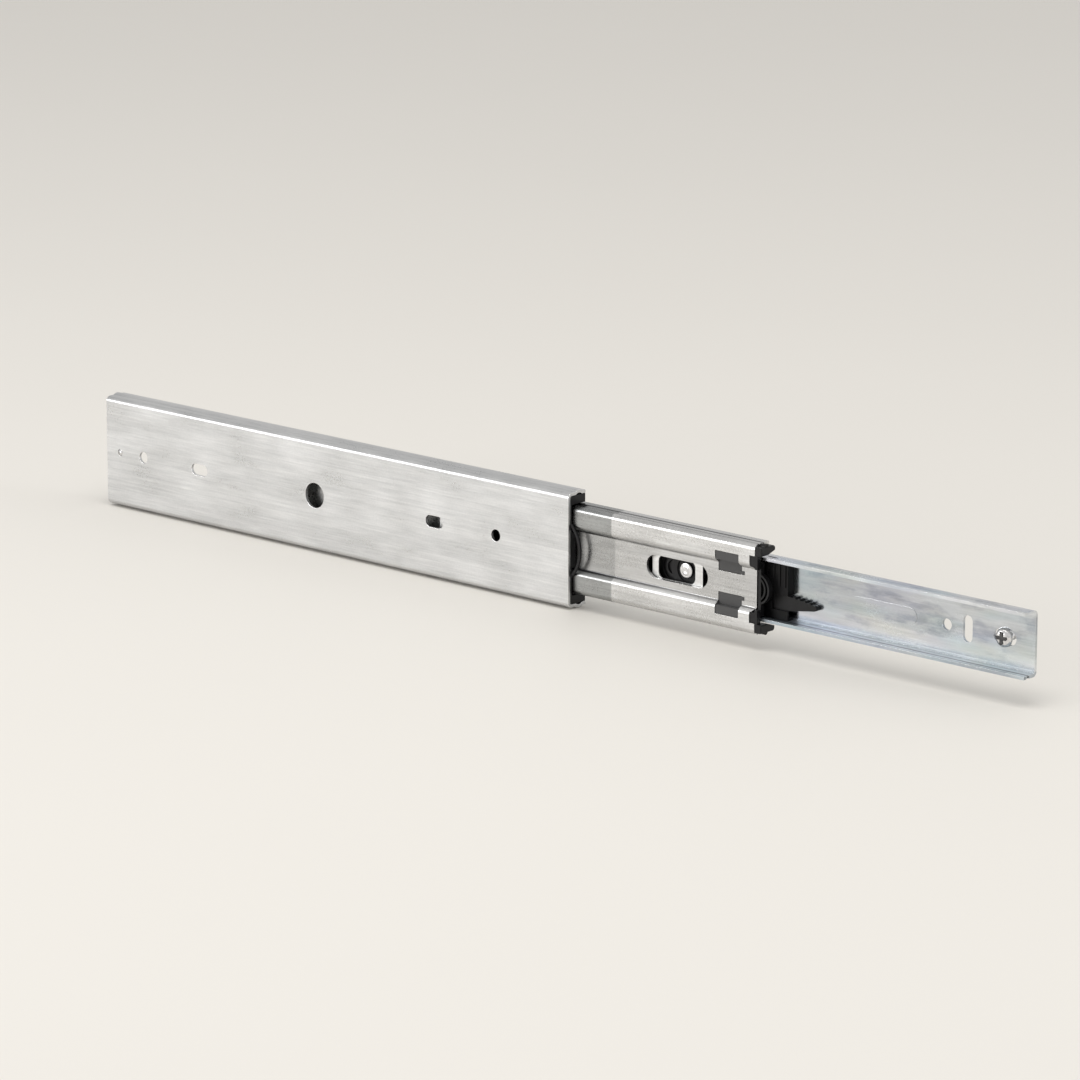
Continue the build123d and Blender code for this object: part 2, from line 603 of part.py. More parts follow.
def drawer_member():
    member = prism(drawer_profile(), (drawer_rear, drawer_front))
    through = (drawer_web_y - DRAWER_STEEL, SLIDE_THICKNESS + DRAWER_STEEL)
    width = 2 * DRAWER_HOLE_RADIUS
    member -= oblong(screw_x, 0, DRAWER_SCREW_SLOT_LENGTH, DRAWER_SCREW_SLOT_WIDTH, through)
    for setback in (DRAWER_UPRIGHT_SLOT_SETBACK, DRAWER_REAR_SLOT_SETBACK):
        member -= oblong(drawer_front - setback, 0, DRAWER_SLOT_LENGTH, width, through, upright=True)
    for setback in (DRAWER_HOLE_SETBACK, DRAWER_REAR_HOLE_SETBACK):
        member -= round_bar(drawer_front - setback, 0, DRAWER_HOLE_RADIUS, through)
    for x, z in ((pivot_x, 0), (housing_rivet_x, HOUSING_RIVET_Z), (housing_pin_x, HOUSING_RIVET_Z)):
        member -= round_bar(x, z, RIVET_SHANK_RADIUS, through)
    pad_y = (drawer_web_y - EMBOSSED_PAD_HEIGHT, drawer_web_y + DRAWER_STEEL / 2)
    member += oblong(drawer_front - EMBOSSED_PAD_SETBACK, 0, EMBOSSED_PAD_LENGTH, EMBOSSED_PAD_WIDTH, pad_y)
    stop = block(
        (drawer_rear, drawer_rear + CAGE_STOP_THICKNESS),
        (INNER_BALL_Y - CAGE_STOP_HALF_WIDTH, INNER_BALL_Y + CAGE_STOP_HALF_WIDTH),
        (drawer_half - 2 * INNER_RACE_DEPTH, drawer_half + CAGE_STOP_RISE),
    )
    return member + stop + stop.mirror(Plane.XY)


# Release lever, its housing and their rivets
CATCH_GAP = 0.4
CATCH_LENGTH = 5.9
LEVER_PIVOT_TO_CATCH = 32.4
LEVER_BOSS_RADIUS = 7.4
LEVER_TAIL_LENGTH = 19.0
LEVER_TAIL_HALF = 6.6
SPRING_EYE_SETBACK = 6.8
SPRING_EYE_RINGS = (5.9, 3.7)
SPRING_EYE_RING_WIDTH = 0.9
SPRING_EYE_RING_HEIGHT = 0.7
RIVET_RECESS_MARGIN = 1.6
RIVET_RECESS_DEPTH = 0.5
RIVET_SEAT_MARGIN = 0.4
LEVER_SIDE_GAP = 0.2
LEVER_PRESS_ROOM = 2.5
CATCH_ROOM = 1.05
LEVER_ARM_Z = (-7.4, -1.8)
CATCH_TO_TONGUE = 15.1
CATCH_TO_TIP = 28.8
LEVER_TIP_Z = (-5.4, -3.4)
LEVER_TIP_ROUND = 1.0
CATCH_Z = (-5.9, 1.3)
GRIP_START = 3.2
GRIP_COUNT = 4
GRIP_PITCH = 2.4
GRIP_RISE = 0.55
HOUSING_WALL = 0.8
HOUSING_LENGTH = 37.0
HOUSING_AHEAD_OF_CATCH = 16.1
HOUSING_RIVET_INSET = 7.0
HOUSING_PIN_INSET = 8.0
HOUSING_RIVET_Z = 5.6
HOUSING_MOUTH_LENGTH = 7.5
RIB_COUNT = 4
RIB_PITCH = 2.6
RIB_WIDTH = 0.9
RIB_HEIGHT = 0.35
RIB_LOW_Z = 1.5
RIB_TOP_MARGIN = 1.0
LEVER_HEAD_RADIUS = 3.0
HOUSING_HEAD_RADIUS = 2.2

catch_front_x = tab_rear_x - CATCH_GAP
catch_x = (catch_front_x - CATCH_LENGTH, catch_front_x)
pivot_x = catch_front_x - LEVER_PIVOT_TO_CATCH
tongue_root_x = catch_front_x + CATCH_TO_TONGUE
tip_x = catch_front_x + CATCH_TO_TIP
housing_front_x = catch_front_x + HOUSING_AHEAD_OF_CATCH
housing_rear_x = housing_front_x - HOUSING_LENGTH
housing_rivet_x = housing_rear_x + HOUSING_RIVET_INSET
housing_pin_x = housing_front_x - HOUSING_PIN_INSET

housing_near_y = inside_y + STOP_TAB_HEIGHT + RUNNING_GAP
lever_near_y = housing_near_y + HOUSING_WALL + LEVER_SIDE_GAP
lever_far_y = drawer_web_y - LEVER_SIDE_GAP
boss_near_y = inside_y + RIVET_HEAD_HEIGHT


def lever_housing():
    half = drawer_inner - SEAT_GAP
    x_span = (housing_rear_x, housing_front_x)
    body = block(x_span, (housing_near_y, drawer_web_y - SEAT_GAP), (-half, half))
    cavity_y = (housing_near_y + HOUSING_WALL, SLIDE_THICKNESS)
    cavity_z = (LEVER_ARM_Z[0] - LEVER_PRESS_ROOM, LEVER_ARM_Z[1] + RUNNING_GAP)
    body -= block((housing_rear_x - CUTTER_OVERRUN, housing_front_x + CUTTER_OVERRUN), cavity_y, cavity_z)
    window_x = (catch_x[0] - CATCH_ROOM, catch_x[1] + CATCH_ROOM)
    window_z = (LEVER_ARM_Z[0], CATCH_Z[1] + RUNNING_GAP)
    body -= block(window_x, (inside_y, SLIDE_THICKNESS), window_z)
    mouth_x = (housing_front_x - HOUSING_MOUTH_LENGTH, housing_front_x + CUTTER_OVERRUN)
    mouth_z = (LEVER_ARM_Z[0], cavity_z[1])
    body -= block(mouth_x, (inside_y, SLIDE_THICKNESS), mouth_z)
    for i in range(RIB_COUNT):
        rib_front = housing_front_x - RIB_PITCH * i - RIB_WIDTH
        rib_x = (rib_front - RIB_WIDTH, rib_front)
        rib_y = (housing_near_y - RIB_HEIGHT, housing_near_y + RIB_HEIGHT)
        body += block(rib_x, rib_y, (RIB_LOW_Z, half - RIB_TOP_MARGIN))
    for x in (housing_rivet_x, housing_pin_x):
        body -= round_bar(x, HOUSING_RIVET_Z, RIVET_SHANK_RADIUS, (inside_y, SLIDE_THICKNESS))
    return body


def release_lever():
    """Pivot boss, ringed tail, arm to the catch nose, and a tapered tongue with grips on top."""
    boss = round_bar(pivot_x, 0, LEVER_BOSS_RADIUS, (boss_near_y, lever_far_y))
    recess_y = (0, boss_near_y + RIVET_RECESS_DEPTH)
    recess = round_bar(pivot_x, 0, LEVER_HEAD_RADIUS + RIVET_RECESS_MARGIN, recess_y)
    seat = round_bar(pivot_x, 0, LEVER_HEAD_RADIUS - RIVET_SEAT_MARGIN, (0, lever_near_y))
    arm_low, arm_high = LEVER_ARM_Z
    arm = block((pivot_x, tongue_root_x), (lever_near_y, lever_far_y), LEVER_ARM_Z)
    root = (tongue_root_x, arm_low)
    tip_low, tip_high = LEVER_TIP_Z
    nose_low = (tip_x - LEVER_TIP_ROUND, tip_low)
    nose_high = (tip_x - LEVER_TIP_ROUND, tip_high)
    nose = ThreePointArc(nose_low, (tip_x, (tip_low + tip_high) / 2), nose_high)
    outline = Curve() + [
        Line(root, nose @ 0),
        nose,
        Line(nose @ 1, (tongue_root_x, arm_high)),
        Line((tongue_root_x, arm_high), root),
    ]
    tongue = across(make_face(outline.edges()), 0, 0, (lever_near_y, lever_far_y))
    lever = boss - recess + (boss & seat) + arm + tongue
    slope = (tip_high - arm_high) / (tip_x - LEVER_TIP_ROUND - tongue_root_x)
    for i in range(GRIP_COUNT):
        x = tongue_root_x + GRIP_START + GRIP_PITCH * i
        z = arm_high + slope * (x - tongue_root_x)
        lever += round_bar(x, z, GRIP_RISE, (lever_near_y, lever_far_y))
    lever += block(catch_x, (inside_y, lever_far_y), CATCH_Z)
    tail_x = (pivot_x - LEVER_TAIL_LENGTH, pivot_x - LEVER_BOSS_RADIUS / 2)
    tail = block(tail_x, (lever_near_y, lever_far_y), (-LEVER_TAIL_HALF, LEVER_TAIL_HALF))
    tail_end = tail.edges().filter_by(Axis.Y).sort_by(Axis.X)[:2]
    lever += fillet(tail_end, LEVER_TAIL_HALF - SEAT_GAP)
    ring_y = (lever_near_y - SPRING_EYE_RING_HEIGHT, lever_far_y)
    for radius in SPRING_EYE_RINGS:
        ring = Circle(radius) - Circle(radius - SPRING_EYE_RING_WIDTH)
        lever += across(ring, pivot_x - SPRING_EYE_SETBACK, 0, ring_y) - recess
    return lever - round_bar(pivot_x, 0, RIVET_SHANK_RADIUS, (0, SLIDE_THICKNESS))


def lever_rivet():
    y_span = (inside_y, SLIDE_THICKNESS)
    return rivet(pivot_x, 0, LEVER_HEAD_RADIUS, RIVET_SHANK_RADIUS - SEAT_GAP, y_span, True)


def housing_rivet():
    y_span = (housing_near_y - RIVET_HEAD_HEIGHT, SLIDE_THICKNESS)
    shank_radius = RIVET_SHANK_RADIUS - SEAT_GAP
    return rivet(housing_rivet_x, HOUSING_RIVET_Z, HOUSING_HEAD_RADIUS, shank_radius, y_span, True)


def housing_pin():
    y_span = (housing_near_y, SLIDE_THICKNESS)
    return round_bar(housing_pin_x, HOUSING_RIVET_Z, RIVET_SHANK_RADIUS - SEAT_GAP, y_span)


# Drawer screw
SCREW_HEAD_RADIUS = 3.6
SCREW_HEAD_HEIGHT = 2.2
SCREW_HEAD_ROUND = 1.6
SCREW_SHANK_RADIUS = 1.75
SCREW_LENGTH = 13.0
SCREW_POINT = 3.5
SCREW_TIP_RADIUS = 0.25
CROSS_LENGTH = 4.2
CROSS_WIDTH = 0.95
CROSS_DEPTH = 1.5
screw_x = drawer_front - DRAWER_SCREW_SETBACK


def drawer_screw():
    """Pan-head wood screw through the drawer member's front slot."""
    head_top = drawer_web_y - SCREW_HEAD_HEIGHT
    head = round_bar(screw_x, 0, SCREW_HEAD_RADIUS, (head_top, drawer_web_y))
    top_rim = head.edges().filter_by(GeomType.CIRCLE).sort_by(Axis.Y)[0]
    head = fillet(top_rim, SCREW_HEAD_ROUND)
    shank_end = drawer_web_y + SCREW_LENGTH - SCREW_POINT
    shank = round_bar(screw_x, 0, SCREW_SHANK_RADIUS, (drawer_web_y, shank_end))
    point = Rot(X=-90) * Cone(SCREW_SHANK_RADIUS, SCREW_TIP_RADIUS, SCREW_POINT)
    point = Pos(screw_x, shank_end + SCREW_POINT / 2, 0) * point
    screw = head + shank + point
    cut_y = (head_top - CUTTER_OVERRUN, head_top + CROSS_DEPTH)
    for angle in (0, 90):
        bar = across(Rectangle(CROSS_LENGTH, CROSS_WIDTH, rotation=angle), screw_x, 0, cut_y)
        screw -= bar
    return screw


PIECES = {
    "cabinet_member": cabinet_member,
    "cabinet_front_stop": cabinet_front_stop,
    "cabinet_rear_buffer": cabinet_rear_buffer,
    "rear_buffer_rivet": rear_buffer_rivet,
    "outer_ball_cage": outer_ball_cage,
    "intermediate_member": intermediate_member,
    "intermediate_front_bumper": intermediate_front_bumper,
    "intermediate_rear_buffer": intermediate_rear_buffer,
    "inner_ball_cage": inner_ball_cage,
    "drawer_member": drawer_member,
    "lever_housing": lever_housing,
    "housing_rivet": housing_rivet,
    "housing_pin": housing_pin,
    "release_lever": release_lever,
    "lever_rivet": lever_rivet,
    "drawer_screw": drawer_screw,
}

BALL_ROWS = {
    "outer_balls_upper": (outer_ball_places, OUTER_BALL_Y, outer_ball_z, OUTER_BALL_RADIUS),
    "outer_balls_lower": (outer_ball_places, OUTER_BALL_Y, -outer_ball_z, OUTER_BALL_RADIUS),
    "inner_balls_upper": (inner_ball_places, INNER_BALL_Y, inner_ball_z, INNER_BALL_RADIUS),
    "inner_balls_lower": (inner_ball_places, INNER_BALL_Y, -inner_ball_z, INNER_BALL_RADIUS),
}

os.makedirs("parts", exist_ok=True)
for name, make in PIECES.items():
    export_step(make(), f"parts/{name}.step")
for name, row in BALL_ROWS.items():
    export_step(ball_row(*row), f"parts/{name}.step")
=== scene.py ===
"""A ball-bearing drawer slide, part open, standing on its lower edge on a pale floor."""
import math

import bmesh
import bpy
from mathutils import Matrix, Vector


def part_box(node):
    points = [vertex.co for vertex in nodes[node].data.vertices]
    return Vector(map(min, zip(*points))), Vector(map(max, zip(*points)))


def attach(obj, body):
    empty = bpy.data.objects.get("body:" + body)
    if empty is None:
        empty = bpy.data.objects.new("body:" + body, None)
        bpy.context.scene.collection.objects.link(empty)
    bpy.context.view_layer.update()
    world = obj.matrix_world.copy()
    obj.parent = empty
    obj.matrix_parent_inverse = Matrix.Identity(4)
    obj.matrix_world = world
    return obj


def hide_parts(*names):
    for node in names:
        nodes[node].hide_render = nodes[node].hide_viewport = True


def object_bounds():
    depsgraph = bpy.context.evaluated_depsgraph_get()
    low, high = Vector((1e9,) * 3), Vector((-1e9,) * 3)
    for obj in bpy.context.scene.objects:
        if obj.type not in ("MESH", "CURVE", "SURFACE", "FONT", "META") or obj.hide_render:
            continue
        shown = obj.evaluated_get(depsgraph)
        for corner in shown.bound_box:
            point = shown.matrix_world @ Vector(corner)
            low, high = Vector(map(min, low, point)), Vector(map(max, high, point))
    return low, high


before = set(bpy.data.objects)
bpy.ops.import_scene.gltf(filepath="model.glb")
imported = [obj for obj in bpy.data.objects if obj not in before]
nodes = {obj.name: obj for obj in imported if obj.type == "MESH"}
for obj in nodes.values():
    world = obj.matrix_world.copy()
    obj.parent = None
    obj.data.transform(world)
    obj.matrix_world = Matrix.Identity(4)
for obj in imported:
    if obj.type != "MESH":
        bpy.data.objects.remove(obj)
cad_box = [list(corner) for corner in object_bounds()]


# The studio: a pale floor just under the slide, a long lens at the height of someone looking
# down at an open drawer, and large soft lamps for the bright zinc to reflect.
low, high = (Vector(corner) for corner in cad_box)
middle = (low + high) / 2
FLOOR_DROP = 0.0002
FLOOR_HALF = 6.0
EYE = Vector((1.3847, -1.5354, 0.5181))
LENS = 190.0
CAMERA_REACH = 50.0
AIM_DEPTH = 0.006

floor_mesh = bpy.data.meshes.new("floor")
floor_z = low.z - FLOOR_DROP
ways = ((-1, -1), (1, -1), (1, 1), (-1, 1))
floor_mesh.from_pydata([(x * FLOOR_HALF, y * FLOOR_HALF, floor_z) for x, y in ways], [], [(0, 1, 2, 3)])
floor = bpy.data.objects.new("floor", floor_mesh)
bpy.context.scene.collection.objects.link(floor)

camera_data = bpy.data.cameras.new("camera")
camera_data.lens = LENS
camera_data.clip_end = CAMERA_REACH
camera = bpy.data.objects.new("camera", camera_data)
camera.location = EYE
aim = Vector((middle.x, AIM_DEPTH, 0.0))
camera.rotation_euler = (aim - EYE).to_track_quat("-Z", "Y").to_euler()
bpy.context.scene.collection.objects.link(camera)
bpy.context.scene.camera = camera


def soft_lamp(name, place, width, height, power, colour=(1.0, 1.0, 1.0)):
    data = bpy.data.lights.new(name, "AREA")
    data.shape = "RECTANGLE"
    data.size = width
    data.size_y = height
    data.energy = power
    data.color = colour
    lamp = bpy.data.objects.new(name, data)
    lamp.location = place
    lamp.rotation_euler = (middle - Vector(place)).to_track_quat("-Z", "Y").to_euler()
    bpy.context.scene.collection.objects.link(lamp)


soft_lamp("overhead", (0.1, -0.5, 1.5), width=1.5, height=1.0, power=10.0, colour=(1.0, 0.985, 0.96))
soft_lamp("front_left", (-1.1, -1.5, 0.38), width=1.2, height=0.62, power=12.0)
soft_lamp("front_right", (1.7, 0.5, 0.5), width=0.6, height=0.9, power=5.0, colour=(0.97, 0.99, 1.0))

WORLD_STRENGTH = 0.7
world = bpy.data.worlds.new("studio")
world.use_nodes = True
backdrop = world.node_tree.nodes["Background"]
backdrop.inputs["Color"].default_value = (0.98, 0.97, 0.955, 1.0)
backdrop.inputs["Strength"].default_value = WORLD_STRENGTH
bpy.context.scene.world = world
bpy.context.scene.view_settings.view_transform = "Standard"


# Cabinet member: a C-channel rolled from zinc-plated strip and screwed to the cabinet wall.
# Rolling leaves fine lengthwise streaks, and the plating a spangle and cloudy blotches.
class Wire:
    """A value on a node board that can be used in sums."""

    def __init__(self, board, socket):
        self.board = board
        self.socket = socket

    def __add__(self, other):
        return self.board.math("ADD", self, other)

    __radd__ = __add__

    def __sub__(self, other):
        return self.board.math("SUBTRACT", self, other)

    def __rsub__(self, other):
        return self.board.math("SUBTRACT", other, self)

    def __mul__(self, other):
        return self.board.math("MULTIPLY", self, other)

    __rmul__ = __mul__


class Board:
    """A node tree laid out by short Python expressions."""

    def __init__(self, tree):
        self.tree = tree

    def node(self, kind, settings=None, values=(), output=0):
        made = self.tree.nodes.new(kind)
        for key, value in (settings or {}).items():
            setattr(made, key, value)
        pairs = values.items() if isinstance(values, dict) else enumerate(values)
        for key, value in pairs:
            self.feed(made.inputs[key], value)
        return Wire(self, made.outputs[output])

    def feed(self, socket, value):
        if isinstance(value, Wire):
            self.tree.links.new(value.socket, socket)
        else:
            socket.default_value = value

    def math(self, operation, *values):
        return self.node("ShaderNodeMath", {"operation": operation}, values)


class Finish(Board):
    """A material."""

    def __init__(self, name):
        self.material = bpy.data.materials.new(name)
        self.material.use_nodes = True
        super().__init__(self.material.node_tree)
        self.shader = self.tree.nodes["Principled BSDF"]
        self.where = self.node("ShaderNodeTexCoord", output="Object")

    def set(self, **sockets):
        for name, value in sockets.items():
            self.feed(self.shader.inputs[name.replace("_", " ")], value)

    def noise(self, scale, detail=3.0, roughness=0.5):
        places = self.node("ShaderNodeMapping", values={"Vector": self.where, "Scale": scale})
        values = {"Vector": places, "Scale": 1.0, "Detail": detail, "Roughness": roughness}
        return self.node("ShaderNodeTexNoise", values=values)

    def along(self, axis):
        """Distance from the origin along one axis, in metres."""
        return self.node("ShaderNodeSeparateXYZ", values=[self.where], output="XYZ".index(axis))

    def spread(self, value, low, high):
        """Stretch a value between low and high to the full range."""
        return self.node("ShaderNodeMapRange", values=[value, low, high, 0.0, 1.0])

    def pattern(self, scale, detail, roughness, low=0.3, high=0.7):
        """A noise stretched to the full range."""
        return self.spread(self.noise(scale, detail, roughness), low, high)

    def mix(self, factor, first, second, blend="MIX"):
        settings = {"data_type": "RGBA", "blend_type": blend}
        return self.node("ShaderNodeMix", settings, {0: factor, 6: first, 7: second}, output=2)

    def rough_skin(self, height, strength, depth):
        values = {"Strength": strength, "Distance": depth, "Height": height}
        self.set(Normal=self.node("ShaderNodeBump", values=values))


def rgb(red, green, blue):
    return (red, green, blue, 1.0)


class Zinc(Finish):
    """Zinc plate on rolled strip: streaks along X, cloudy blotches and a fine spangle."""

    SKIN_STRENGTH = 0.22
    SKIN_DEPTH = 0.00003

    def __init__(self, name, dark, light, roughness):
        super().__init__(name)
        long_streaks = self.pattern((9.0, 620.0, 620.0), 6.0, 0.65, 0.32, 0.68)
        short_streaks = self.pattern((70.0, 1500.0, 1500.0), 4.0, 0.6)
        clouds = self.pattern((38.0, 70.0, 95.0), 4.0, 0.55)
        spangle = self.pattern((1300.0, 1300.0, 1300.0), 3.0, 0.6)
        tone = 0.3 * long_streaks + 0.28 * short_streaks + 0.26 * clouds + 0.16 * spangle
        self.colour = self.mix(tone, dark, light)
        self.rough = roughness + 0.12 * clouds + 0.08 * spangle
        height = 0.6 * long_streaks + 0.5 * short_streaks + 0.4 * spangle
        self.rough_skin(height, self.SKIN_STRENGTH, self.SKIN_DEPTH)
        self.set(Metallic=1.0)

    def shade(self, mask, colour):
        self.colour = self.mix(mask, self.colour, colour, "MULTIPLY")

    def done(self):
        self.set(Base_Color=self.colour, Roughness=self.rough)
        return self.material


WELD = 1e-6
FLAT_ANGLE = math.radians(1.0)
CORNER_ANGLE = math.radians(35.0)


def softened(node, material, body, width, segments=2, edge=None):
    """The node's shape with its edges rounded, as the press or the mould leaves them.

    edge is the finish of the rounded edges, where wear has changed it.
    """
    made = bmesh.new()
    made.from_mesh(nodes[node].data)
    bmesh.ops.remove_doubles(made, verts=made.verts, dist=WELD)
    bmesh.ops.dissolve_limit(made, angle_limit=FLAT_ANGLE, verts=made.verts, edges=made.edges)
    for face in made.faces:
        face.smooth = True
    mesh = bpy.data.meshes.new(node + "_finished")
    made.to_mesh(mesh)
    made.free()
    mesh.materials.clear()
    mesh.materials.append(material)
    if edge:
        mesh.materials.append(edge)
    piece = bpy.data.objects.new(node + "_finished", mesh)
    bpy.context.scene.collection.objects.link(piece)
    bevel = piece.modifiers.new("rounded_edges", "BEVEL")
    bevel.width = width
    bevel.segments = segments
    bevel.limit_method = "ANGLE"
    bevel.angle_limit = CORNER_ANGLE
    bevel.material = 1 if edge else -1
    weighted = piece.modifiers.new("flat_faces", "WEIGHTED_NORMAL")
    weighted.keep_sharp = True
    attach(piece, body)
    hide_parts(node)


cabinet_zinc = Zinc("cabinet_zinc", rgb(0.42, 0.43, 0.44), rgb(0.78, 0.78, 0.78), roughness=0.23).done()
rubbed_edge = Zinc("rubbed_edge", rgb(0.78, 0.78, 0.78), rgb(0.96, 0.96, 0.96), roughness=0.14).done()
softened("cabinet_member", cabinet_zinc, "cabinet", width=0.00012, edge=rubbed_edge)


# Cabinet front stop: black acetal, moulded to fill the channel's mouth round the intermediate
# member and pressed in from the front. A thin bowed cushion stands ahead of it.
class Moulded(Finish):
    """Black plastic straight from a fine-grained mould, paler where it flowed last."""

    PALER = 2.2
    GRAIN_STRENGTH = 0.3
    GRAIN_DEPTH = 0.00002

    def __init__(self, name, colour, roughness, shine=0.26):
        super().__init__(name)
        grain = self.noise((2600.0, 2600.0, 2600.0), 3.0, 0.6)
        flow = self.pattern((130.0, 130.0, 130.0), 3.0, 0.5)
        pale = tuple(self.PALER * part for part in colour[:3]) + (1.0,)
        self.colour = self.mix(flow, colour, pale)
        self.rough_skin(grain, self.GRAIN_STRENGTH, self.GRAIN_DEPTH)
        self.set(Base_Color=self.colour, Roughness=roughness + 0.14 * flow, Specular_IOR_Level=shine)


JET_BLACK = rgb(0.005, 0.005, 0.0055)
MOULD_ROUGHNESS = 0.28
black = Moulded("black_acetal", JET_BLACK, MOULD_ROUGHNESS).material
softened("cabinet_front_stop", black, "cabinet", width=0.00025, segments=3)


# Cabinet rear buffer: the same acetal, moulded as a rounded wall on a foot. One rivet holds the
# foot down, and the wall stops the closing members.
softened("cabinet_rear_buffer", black, "cabinet", width=0.0003, segments=3)


# Rear buffer rivet: a soft steel rivet, its head domed by the setting tool and left with a
# shallow dimple. It holds the buffer's foot to the channel.
class Recipe(Board):
    """A geometry node tree with named sizes."""

    KINDS = {int: "NodeSocketInt", float: "NodeSocketFloat", Vector: "NodeSocketVector"}
    WELD = 2e-7

    def __init__(self, name, **kinds):
        tree = bpy.data.node_groups.new(name, "GeometryNodeTree")
        super().__init__(tree)
        tree.interface.new_socket("Shape", in_out="OUTPUT", socket_type="NodeSocketGeometry")
        tree.interface.new_socket("Material", in_out="INPUT", socket_type="NodeSocketMaterial")
        for size, kind in kinds.items():
            tree.interface.new_socket(size, in_out="INPUT", socket_type=self.KINDS[kind])
        self.start = tree.nodes.new("NodeGroupInput")
        self.end = tree.nodes.new("NodeGroupOutput")

    def size(self, name):
        return Wire(self, self.start.outputs[name])

    def finish(self, shape):
        shape = self.node("GeometryNodeSetShadeSmooth", values=[shape])
        shape = self.node("GeometryNodeRealizeInstances", values=[shape])
        values = {"Geometry": shape, "Material": self.size("Material")}
        self.feed(self.end.inputs["Shape"], self.node("GeometryNodeSetMaterial", values=values))

    def grow(self, name, material, **sizes):
        """A plain mesh object made by the tree, its faces turned outwards."""
        seedling = bpy.data.objects.new(name + "_tree", bpy.data.meshes.new(name + "_tree"))
        bpy.context.scene.collection.objects.link(seedling)
        modifier = seedling.modifiers.new("recipe", "NODES")
        modifier.node_group = self.tree
        for item in self.tree.interface.items_tree:
            if item.in_out == "INPUT":
                value = material if item.name == "Material" else sizes[item.name]
                modifier[item.identifier] = value
        depsgraph = bpy.context.evaluated_depsgraph_get()
        mesh = bpy.data.meshes.new_from_object(seedling.evaluated_get(depsgraph))
        bpy.data.objects.remove(seedling)
        made = bmesh.new()
        made.from_mesh(mesh)
        bmesh.ops.remove_doubles(made, verts=made.verts, dist=self.WELD)
        bmesh.ops.recalc_face_normals(made, faces=made.faces)
        made.to_mesh(mesh)
        made.free()
        piece = bpy.data.objects.new(name, mesh)
        bpy.context.scene.collection.objects.link(piece)
        return piece


RIVET_RINGS = 40
RIVET_SIDES = 64
SHANK_SIDES = 48
HEAD_SQUARENESS = 0.8
HEAD_FULLNESS = 0.7
DIMPLE_NARROWNESS = 9.0
GROOVE_REACH = 0.6
GROOVE_NARROWNESS = 7.0
EULER = 2.718
domed_rivet = Recipe(
    "domed_rivet",
    Seat=Vector,
    Facing=float,
    Head=float,
    Rise=float,
    Dimple=float,
    Shank=float,
    Length=float,
)
grid_values = {"Size X": 1.0, "Size Y": 1.0, "Vertices X": RIVET_RINGS + 1, "Vertices Y": RIVET_SIDES + 1}
sheet = domed_rivet.node("GeometryNodeMeshGrid", values=grid_values)
spot = domed_rivet.node("GeometryNodeInputPosition")
swing = (domed_rivet.node("ShaderNodeSeparateXYZ", values=[spot], output=0) + 0.5) * math.pi
turn = (domed_rivet.node("ShaderNodeSeparateXYZ", values=[spot], output=1) + 0.5) * math.tau
out = domed_rivet.math("SINE", swing)
square_out = domed_rivet.math("POWER", out, HEAD_SQUARENESS)
reach = square_out * domed_rivet.size("Head")
dome = domed_rivet.math("MAXIMUM", domed_rivet.math("COSINE", swing), 0.0)
dimple = domed_rivet.math("POWER", EULER, out * out * -DIMPLE_NARROWNESS) * domed_rivet.size("Dimple")
top = domed_rivet.math("GREATER_THAN", domed_rivet.math("COSINE", swing), 0.0)
ring = (out - GROOVE_REACH) * GROOVE_NARROWNESS
groove = domed_rivet.math("POWER", EULER, ring * ring * -1.0) * domed_rivet.size("Dimple") * 0.5
rise = domed_rivet.math("POWER", dome, HEAD_FULLNESS) * domed_rivet.size("Rise") - (dimple + groove) * top
place = domed_rivet.node(
    "ShaderNodeCombineXYZ",
    values=[
        reach * domed_rivet.math("COSINE", turn),
        rise * domed_rivet.size("Facing"),
        reach * domed_rivet.math("SINE", turn),
    ],
)
place = domed_rivet.node("ShaderNodeVectorMath", {"operation": "ADD"}, [place, domed_rivet.size("Seat")])
head = domed_rivet.node("GeometryNodeSetPosition", values={"Geometry": sheet, "Position": place})
bar_length = domed_rivet.size("Length")
bar_values = {"Vertices": SHANK_SIDES, "Radius": domed_rivet.size("Shank"), "Depth": bar_length}
bar = domed_rivet.node("GeometryNodeMeshCylinder", values=bar_values)
drop = bar_length * domed_rivet.size("Facing") * -0.5
sunk = domed_rivet.node("ShaderNodeCombineXYZ", values=[0.0, drop, 0.0])
sunk = domed_rivet.node("ShaderNodeVectorMath", {"operation": "ADD"}, [sunk, domed_rivet.size("Seat")])
bar_place = {"Geometry": bar, "Translation": sunk, "Rotation": (math.pi / 2, 0.0, 0.0)}
bar = domed_rivet.node("GeometryNodeTransform", values=bar_place)
joined = domed_rivet.node("GeometryNodeJoinGeometry", values=[head])
domed_rivet.feed(joined.socket.node.inputs[0], bar)
domed_rivet.finish(joined)


class Polished(Finish):
    """Bright steel with faint rub marks."""

    def __init__(self, name, dark, light, roughness):
        super().__init__(name)
        rub = self.pattern((900.0, 900.0, 900.0), 3.0, 0.6)
        self.set(Base_Color=self.mix(rub, dark, light), Metallic=1.0, Roughness=roughness + 0.1 * rub)


rivet_zinc = Polished("rivet_zinc", rgb(0.62, 0.62, 0.63), rgb(0.86, 0.86, 0.86), roughness=0.16).material
RIVET_RISE = 0.0009
RIVET_DIMPLE = 0.35 * RIVET_RISE
SHANK_RADIUS = 0.00135


